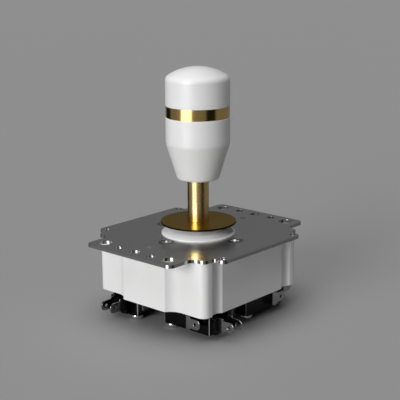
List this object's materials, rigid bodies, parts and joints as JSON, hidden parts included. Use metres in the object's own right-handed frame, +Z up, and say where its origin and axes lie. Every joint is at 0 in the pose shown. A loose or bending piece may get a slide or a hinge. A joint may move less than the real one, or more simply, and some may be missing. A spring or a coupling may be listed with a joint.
{
  "type": "arcade joystick lever",
  "caption": "Panel-mounted joystick: white tapered grip with a gold band on a tilting shaft, steel mounting plate, white housing and side switches below.",
  "frame": {"origin": "centre of the mounting plate's top face, on the shaft's axis", "axes": "+Z up along the shaft, Y along the plate's long side between its end tabs, X across"},
  "size_m": [0.0842, 0.0966, 0.1187],
  "materials": {
    "plate_steel": "satin sheet",
    "screw_steel": "plated",
    "shaft_steel": "turned",
    "spring_steel": "drawn",
    "white_plastic": "satin",
    "grip_plastic": "satin",
    "black_plastic": "gloss",
    "red_plastic": "gloss",
    "gold": "gold anodised",
    "terminal_metal": "plated"
  },
  "bodies": {
    "base": {"mounting_plate": "plate_steel", "plate_screws": "screw_steel", "dust_collar": "white_plastic", "pivot_carrier": "white_plastic", "housing": "white_plastic", "restrictor_gate": "black_plastic", "gate_screws": "screw_steel", "spring_seat": "screw_steel", "return_spring": "spring_steel", "switch_screws": "screw_steel", "arm_pins": "screw_steel", "switch_case_front": "black_plastic", "switch_cover_front": "black_plastic", "common_terminal_front": "terminal_metal", "open_terminal_front": "terminal_metal", "closed_terminal_front": "terminal_metal", "switch_case_right": "black_plastic", "switch_cover_right": "black_plastic", "common_terminal_right": "terminal_metal", "open_terminal_right": "terminal_metal", "closed_terminal_right": "terminal_metal", "switch_case_back": "black_plastic", "switch_cover_back": "black_plastic", "common_terminal_back": "terminal_metal", "open_terminal_back": "terminal_metal", "closed_terminal_back": "terminal_metal", "switch_case_left": "black_plastic", "switch_cover_left": "black_plastic", "common_terminal_left": "terminal_metal", "open_terminal_left": "terminal_metal", "closed_terminal_left": "terminal_metal"},
    "gimbal": {"gimbal_ring": "shaft_steel", "ring_pins": "shaft_steel"},
    "lever": {"shaft": "shaft_steel", "pivot_ball": "black_plastic", "cross_pin": "shaft_steel", "spring_cup": "black_plastic", "actuator": "white_plastic", "actuator_clip": "spring_steel", "washer_clip": "spring_steel", "grip_body": "grip_plastic", "grip_insert": "gold", "grip_band": "gold", "grip_cap": "grip_plastic"},
    "cover": {"shaft_cover": "gold", "dust_washer": "gold"},
    "arm_front": {"switch_arm_front": "spring_steel"},
    "plunger_front": {"switch_plunger_front": "red_plastic"},
    "arm_right": {"switch_arm_right": "spring_steel"},
    "plunger_right": {"switch_plunger_right": "red_plastic"},
    "arm_back": {"switch_arm_back": "spring_steel"},
    "plunger_back": {"switch_plunger_back": "red_plastic"},
    "arm_left": {"switch_arm_left": "spring_steel"},
    "plunger_left": {"switch_plunger_left": "red_plastic"}
  },
  "joints": [
    {"name": "tilt_x", "type": "hinge", "parent": "base", "child": "gimbal", "pos_m": [0, 0, -0.009], "axis": [1, 0, 0], "range_deg": [-8, 8], "stiffness_Nm_per_rad": 0.9, "deforming": ["return_spring"]},
    {"name": "tilt_y", "type": "hinge", "parent": "gimbal", "child": "lever", "pos_m": [0, 0, -0.009], "axis": [0, 1, 0], "range_deg": [-8, 8], "stiffness_Nm_per_rad": 0.9, "deforming": ["return_spring"]},
    {"name": "cover_spin", "type": "hinge", "parent": "lever", "child": "cover", "pos_m": [0, 0, 0.005], "axis": [0, 0, 1], "continuous": true},
    {"name": "arm_swing_front", "type": "hinge", "parent": "base", "child": "arm_front", "pos_m": [0.0288, -0.01005, -0.03215], "axis": [0, 0, 1], "range_deg": [-6.63, 6.63]},
    {"name": "plunger_slide_front", "type": "slide", "parent": "base", "child": "plunger_front", "axis": [0, -1, 0], "range_m": [-0.0009, 0.0009]},
    {"name": "arm_swing_right", "type": "hinge", "parent": "base", "child": "arm_right", "pos_m": [0.01005, 0.0288, -0.03215], "axis": [0, 0, 1], "range_deg": [-6.63, 6.63]},
    {"name": "plunger_slide_right", "type": "slide", "parent": "base", "child": "plunger_right", "axis": [1, 0, 0], "range_m": [-0.0009, 0.0009]},
    {"name": "arm_swing_back", "type": "hinge", "parent": "base", "child": "arm_back", "pos_m": [-0.0288, 0.01005, -0.03215], "axis": [0, 0, 1], "range_deg": [-6.63, 6.63]},
    {"name": "plunger_slide_back", "type": "slide", "parent": "base", "child": "plunger_back", "axis": [0, 1, 0], "range_m": [-0.0009, 0.0009]},
    {"name": "arm_swing_left", "type": "hinge", "parent": "base", "child": "arm_left", "pos_m": [-0.01005, -0.0288, -0.03215], "axis": [0, 0, 1], "range_deg": [-6.63, 6.63]},
    {"name": "plunger_slide_left", "type": "slide", "parent": "base", "child": "plunger_left", "axis": [-1, 0, 0], "range_m": [-0.0009, 0.0009]}
  ],
  "couplings": [
    {"joint": "arm_swing_front", "follows": "tilt_x", "ratio": -0.80382},
    {"joint": "plunger_slide_front", "follows": "tilt_x", "m_per_rad": -0.0058},
    {"joint": "arm_swing_right", "follows": "tilt_y", "ratio": -0.80382},
    {"joint": "plunger_slide_right", "follows": "tilt_y", "m_per_rad": -0.0058},
    {"joint": "arm_swing_back", "follows": "tilt_x", "ratio": 0.80382},
    {"joint": "plunger_slide_back", "follows": "tilt_x", "m_per_rad": 0.0058},
    {"joint": "arm_swing_left", "follows": "tilt_y", "ratio": 0.80382},
    {"joint": "plunger_slide_left", "follows": "tilt_y", "m_per_rad": 0.0058}
  ]
}
